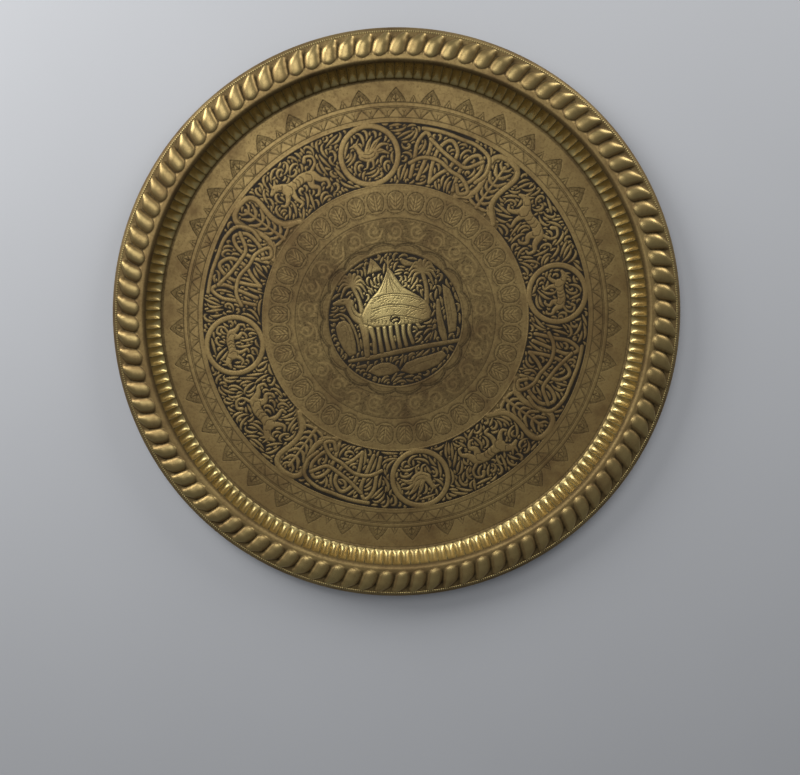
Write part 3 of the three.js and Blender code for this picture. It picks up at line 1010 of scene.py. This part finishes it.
def rim_under(skin, rim, start):
    """The edge, and the underside back to the middle."""
    angle = ring_angles(NOTCHES)
    rows = hem_rows(rim, start)
    x, y = polar_rows(rows[:, 0], angle)
    skin.grid(x, y, rows[:, 1][:, None], ROUNDEL_ANGLE, dirt_and_shade=0.3)
    angle = ring_angles(990)
    share = np.linspace(1.0, 0.03, 16)
    height = rim.gadroon(share, angle)[0]
    radius = rim.gadroon_in + share * (rim.gadroon_out - rim.gadroon_in)
    swung = angle + rim.turn(share)[:, None]
    x, y = polar_rows(radius, swung)
    skin.grid(x, y, height - 1.25 * rim.sheet, ROUNDEL_ANGLE + rim.turn(1.0), dirt_and_shade=0.35)
    angle = rim.angle
    x, y = polar_rows(np.array([rim.crest[0] + 1.4, rim.crest[0] + 0.2]), angle)
    skin.grid(x, y, np.array([[rim.crest[1] - 1.7 * rim.sheet], [rim.crest[1] - 2.0 * rim.sheet]]),
              ROUNDEL_ANGLE + rim.turn(0.0), dirt_and_shade=0.35)
    share = np.linspace(0.96, 0.0, 12)
    radius, height = rim.wall(share, angle, rim.sheet)
    skin.grid(radius * np.sin(angle), radius * np.cos(angle), height, ROUNDEL_ANGLE, dirt_and_shade=0.3)
    x, y = polar_rows(np.array([rim.foot + 3.2, rim.foot + 1.0]), angle)
    skin.grid(x, y, np.array([[2.2], [0.0]]), ROUNDEL_ANGLE, dirt_and_shade=0.3)
    x, y = polar_rows(np.linspace(rim.foot - 12, 12, 34), ring_angles(360))
    skin.grid(x, y, 0.0, ROUNDEL_ANGLE, dirt_and_shade=0.25)
    skin.pole(0.0, (0.25, 0.0))


def sheet_mesh(sizes):
    """The whole sheet of brass as one closed surface."""
    skin = Skin()
    top, ground = sizes.thickness / MM, sizes.ground / MM
    skin.pole(top)
    for relief in floor_reliefs(sizes):
        relief.crisp()
        height = relief.height(top, ground, sizes.line_depth / MM)
        skin.grid(relief.x, relief.y, height, ROUNDEL_ANGLE, relief.dirt_and_shade(), relief.polish)
    rim = Rim(sizes)
    rim_upper(skin, rim)
    rim_under(skin, rim, milled_line(skin, rim))
    return skin.build("tray_sheet_chased")


# ---- Finishes ----


class Finish:
    """A node material under construction."""

    def __init__(self, name):
        self.material = bpy.data.materials.new(name)
        self.material.use_nodes = True
        self.nodes = self.material.node_tree.nodes
        self.links = self.material.node_tree.links
        self.shader = self.nodes["Principled BSDF"]
        self.place = self.nodes.new("ShaderNodeTexCoord").outputs["Object"]

    def join(self, socket, value):
        """Links a socket to another one, or sets its value."""
        if isinstance(value, bpy.types.NodeSocket):
            self.links.new(value, socket)
        else:
            socket.default_value = value

    def noise(self, scale, detail=4.0, rough=0.55, stretch=None):
        """Noise that lies still on the piece."""
        node = self.nodes.new("ShaderNodeTexNoise")
        node.inputs["Scale"].default_value = scale
        node.inputs["Detail"].default_value = detail
        node.inputs["Roughness"].default_value = rough
        place = self.place
        if stretch:
            mapping = self.nodes.new("ShaderNodeMapping")
            mapping.inputs["Scale"].default_value = stretch
            self.links.new(place, mapping.inputs["Vector"])
            place = mapping.outputs["Vector"]
        self.links.new(place, node.inputs["Vector"])
        return node.outputs["Fac"]

    def between(self, value, low, high, to_low=0.0, to_high=1.0):
        """The value spread from one range to another."""
        node = self.nodes.new("ShaderNodeMapRange")
        node.clamp = True
        for socket, number in zip(node.inputs[1:5], (low, high, to_low, to_high)):
            socket.default_value = number
        self.links.new(value, node.inputs["Value"])
        return node.outputs["Result"]

    def maths(self, kind, first, second):
        """A sum, difference or product."""
        node = self.nodes.new("ShaderNodeMath")
        node.operation = kind
        node.use_clamp = kind in ("ADD", "MULTIPLY")
        self.join(node.inputs[0], first)
        self.join(node.inputs[1], second)
        return node.outputs["Value"]

    def mix(self, share, first, second):
        """The first colour going over to the second."""
        node = self.nodes.new("ShaderNodeMix")
        node.data_type = "RGBA"
        self.join(node.inputs["Factor"], share)
        for socket, value in ((node.inputs[6], first), (node.inputs[7], second)):
            self.join(socket, value if isinstance(value, bpy.types.NodeSocket) else (*value, 1.0))
        return node.outputs[2]

    def mark(self, name):
        """A mark that the mesh carries, such as its dirt and painted shade."""
        node = self.nodes.new("ShaderNodeAttribute")
        node.attribute_name = name
        return node.outputs["Fac"]

    def bump(self, height, distance, strength=1.0, normal=None):
        """Fine height, over an earlier one."""
        node = self.nodes.new("ShaderNodeBump")
        node.inputs["Distance"].default_value = distance
        node.inputs["Strength"].default_value = strength
        self.links.new(height, node.inputs["Height"])
        if normal is not None:
            self.links.new(normal, node.inputs["Normal"])
        return node.outputs["Normal"]

    def set(self, **values):
        """Puts values on the shader and gives the finished material."""
        for name, value in values.items():
            self.join(self.shader.inputs[name.replace("_", " ").title()], value)
        return self.material


def brass_finish(colours):
    """Aged brass: patchy tarnish, dirt in the chased lines, painted shade in the wall's corners and round the
    bosses, fine scratches and rubbed high places.
    """
    make = Finish("aged_brass")
    cloud = make.noise(5.0, 5.0, 0.6)
    patch = make.noise(23.0, 4.0, 0.6)
    speckle = make.noise(260.0, 3.0, 0.6)
    hatch = make.noise(900.0, 2.0, 0.5, (1.0, 0.12, 1.0))
    cross = make.noise(900.0, 2.0, 0.5, (0.12, 1.0, 1.0))
    dirt_and_shade, polish = make.mark("dirt_and_shade"), make.mark("polish")
    tarnish = make.maths("MULTIPLY", make.between(cloud, 0.42, 0.66), 0.75)
    tarnish = make.maths("ADD", tarnish, make.between(patch, 0.48, 0.72, 0.0, 0.65))
    rubbed = make.maths("MULTIPLY", polish, make.between(patch, 0.30, 0.60, 0.65, 1.0))
    base = make.mix(tarnish, tuple(colours.brass), tuple(colours.tarnish))
    base = make.mix(make.between(speckle, 0.50, 0.70, 0.0, 0.65), base, tuple(colours.tarnish))
    base = make.mix(make.between(rubbed, 0.30, 0.85), base, tuple(colours.bright))
    # The dirt colour goes over the brass where the mesh marks dirt, and also where it marks painted shade.
    dirt = make.maths("MULTIPLY", dirt_and_shade, make.between(speckle, 0.25, 0.6, 0.75, 1.0))
    base = make.mix(dirt, base, tuple(colours.dirt))
    rough = make.between(cloud, 0.35, 0.7, 0.44, 0.57)
    rough = make.maths("ADD", rough, make.between(speckle, 0.3, 0.7, 0.0, 0.08))
    rough = make.maths("SUBTRACT", rough, make.between(rubbed, 0.0, 0.5, 0.0, 0.21))
    rough = make.maths("ADD", rough, make.maths("MULTIPLY", dirt, 0.30))
    normal = make.bump(patch, 0.0012, 0.35)
    normal = make.bump(hatch, 0.00005, 0.6, normal)
    normal = make.bump(cross, 0.00005, 0.6, normal)
    return make.set(base_color=base, roughness=rough, normal=normal, metallic=0.9)


def composition_finish(colours):
    """Black composition of resin and soot, matt, with grey bloom and fine pitting."""
    make = Finish("black_composition")
    bloom = make.between(make.noise(40.0, 5.0, 0.65), 0.45, 0.8, 0.0, 0.6)
    grain = make.noise(1400.0, 3.0, 0.6)
    pits = make.noise(380.0, 3.0, 0.5)
    base = make.mix(bloom, tuple(colours.black), (0.034, 0.029, 0.021))
    base = make.mix(make.between(grain, 0.6, 0.8, 0.0, 0.4), base, (0.09, 0.075, 0.05))
    rough = make.between(pits, 0.3, 0.7, 0.42, 0.66)
    normal = make.bump(grain, 0.00012, 0.7, make.bump(pits, 0.0004, 0.6))
    make.shader.inputs["Specular IOR Level"].default_value = 0.15
    return make.set(base_color=base, roughness=rough, normal=normal, metallic=0.0)


def wire_finish(colours):
    """Drawn iron wire with rust in patches."""
    make = Finish("iron_wire")
    rust = make.between(make.noise(120.0, 4.0, 0.6), 0.5, 0.7)
    base = make.mix(rust, tuple(colours.iron), (0.11, 0.045, 0.02))
    rough = make.between(make.noise(500.0, 3.0, 0.6), 0.3, 0.7, 0.5, 0.85)
    normal = make.bump(make.noise(700.0, 3.0, 0.6), 0.0001, 0.6)
    return make.set(base_color=base, roughness=rough, normal=normal, metallic=0.7)


def floor_finish(colours):
    """Plain pale matt floor with the faintest mottling."""
    make = Finish("pale_floor")
    base = make.mix(make.between(make.noise(3.0, 3.0, 0.5), 0.3, 0.7, 0.0, 0.3), tuple(colours.floor),
                    tuple(0.93 * c for c in colours.floor))
    return make.set(base_color=base, roughness=0.85)


# ---- Operators ----


def add_object(name, data):
    """Puts a new object into the scene."""
    piece = bpy.data.objects.new(name, data)
    bpy.context.scene.collection.objects.link(piece)
    return piece


class BRASSTRAY_OT_sheet(bpy.types.Operator):
    """Build the chased brass sheet with its rim, in place of the plain one"""

    bl_idname = "brasstray.sheet"
    bl_label = "Brass Sheet"

    def execute(self, context):
        mesh = sheet_mesh(context.scene.brasstray_sizes)
        if not mesh.polygons:
            raise RuntimeError("the brass sheet has no faces")
        mesh.materials.append(brass_finish(context.scene.brasstray_finish))
        piece = add_object("tray_sheet_chased", mesh)
        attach(piece, "root")
        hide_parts("tray_sheet")
        return {"FINISHED"}


class BRASSTRAY_OT_fills(bpy.types.Operator):
    """Give the composition in every field its matt black finish"""

    bl_idname = "brasstray.fills"
    bl_label = "Black Composition"

    def execute(self, context):
        finish = composition_finish(context.scene.brasstray_finish)
        fills = [node for name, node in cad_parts.items() if "_fill" in name]
        if not fills:
            raise RuntimeError("the frame has no fields of composition")
        for node in fills:
            node.data.materials.clear()
            node.data.materials.append(finish)
        return {"FINISHED"}


class BRASSTRAY_OT_wire(bpy.types.Operator):
    """Give the wire in the hem its finish"""

    bl_idname = "brasstray.wire"
    bl_label = "Edge Wire"

    def execute(self, context):
        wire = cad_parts["rim_wire"]
        wire.data.materials.clear()
        wire.data.materials.append(wire_finish(context.scene.brasstray_finish))
        return {"FINISHED"}


class BRASSTRAY_OT_stage(bpy.types.Operator):
    """Build the floor, the lights and the camera"""

    bl_idname = "brasstray.stage"
    bl_label = "Stage"

    def execute(self, context):
        half = 6 * TRAY_RADIUS * MM
        mesh = bpy.data.meshes.new("floor")
        corners = [(-half, -half, 0), (half, -half, 0), (half, half, 0), (-half, half, 0)]
        mesh.from_pydata(corners, [], [(0, 1, 2, 3)])
        mesh.materials.append(floor_finish(context.scene.brasstray_finish))
        add_object("floor", mesh)
        self.light("key", (-1.85, 1.45, 1.1), size=1.5, power=50)
        self.light("overhead", (-0.55, 0.9, 2.8), size=1.8, power=22)
        self.light("side", (1.6, 2.0, 0.95), size=1.5, power=34)
        world = bpy.data.worlds.new("soft_room")
        world.use_nodes = True
        sky = world.node_tree.nodes["Background"]
        sky.inputs["Color"].default_value = (0.87, 0.90, 0.95, 1)
        sky.inputs["Strength"].default_value = 0.19
        context.scene.world = world
        context.scene.view_settings.view_transform = "Standard"
        self.camera(context)
        return {"FINISHED"}

    @staticmethod
    def light(name, place, size, power):
        """A soft round lamp that points at the tray."""
        lamp = bpy.data.lights.new(name, "AREA")
        lamp.shape = "DISK"
        lamp.size = size
        lamp.energy = power
        holder = add_object(name, lamp)
        holder.location = place
        holder.rotation_euler = (-Vector(place)).to_track_quat("-Z", "Y").to_euler()

    @staticmethod
    def camera(context):
        """Nearly square to the floor of the tray, a little beyond its middle."""
        unit = 1.0112 * TRAY_RADIUS * MM
        lens = bpy.data.cameras.new("camera")
        lens.sensor_width = 36.0
        lens.lens = 45.77
        lens.shift_x, lens.shift_y = 0.0468, 0.004
        lens.clip_end = 50.0
        holder = add_object("camera", lens)
        holder.location = (-0.075 * unit, 0.138 * unit, 3.601 * unit + 1.5 * MM)
        back = Vector((0.0113, 0.108, 0.9941)).normalized()
        up = Vector((0.0, 0.9941, -0.108))
        right = up.cross(back).normalized()
        up = back.cross(right)
        turned = Matrix((right, up, back)).transposed().to_4x4()
        holder.matrix_world = Matrix.Translation(holder.location) @ turned
        context.scene.camera = holder


class BRASSTRAY_PT_panel(bpy.types.Panel):
    """The tray's sizes, finishes and building steps"""

    bl_label = "Brass Tray"
    bl_idname = "BRASSTRAY_PT_panel"
    bl_space_type = "VIEW_3D"
    bl_region_type = "UI"
    bl_category = "Brass Tray"

    def draw(self, context):
        for group in (context.scene.brasstray_sizes, context.scene.brasstray_finish):
            column = self.layout.column()
            for name in group.__annotations__:
                column.prop(group, name)
        for operator in STEPS:
            self.layout.operator(operator.bl_idname)


STEPS = (BRASSTRAY_OT_sheet, BRASSTRAY_OT_fills, BRASSTRAY_OT_wire, BRASSTRAY_OT_stage)
CLASSES = (TraySizes, TrayFinish, *STEPS, BRASSTRAY_PT_panel)


def register():
    for cls in CLASSES:
        bpy.utils.register_class(cls)
    bpy.types.Scene.brasstray_sizes = PointerProperty(type=TraySizes)
    bpy.types.Scene.brasstray_finish = PointerProperty(type=TrayFinish)


def unregister():
    del bpy.types.Scene.brasstray_finish
    del bpy.types.Scene.brasstray_sizes
    for cls in reversed(CLASSES):
        bpy.utils.unregister_class(cls)


def main():
    register()
    bpy.ops.brasstray.sheet()
    bpy.ops.brasstray.fills()
    bpy.ops.brasstray.wire()
    bpy.ops.brasstray.stage()


if __name__ == "__main__":
    main()
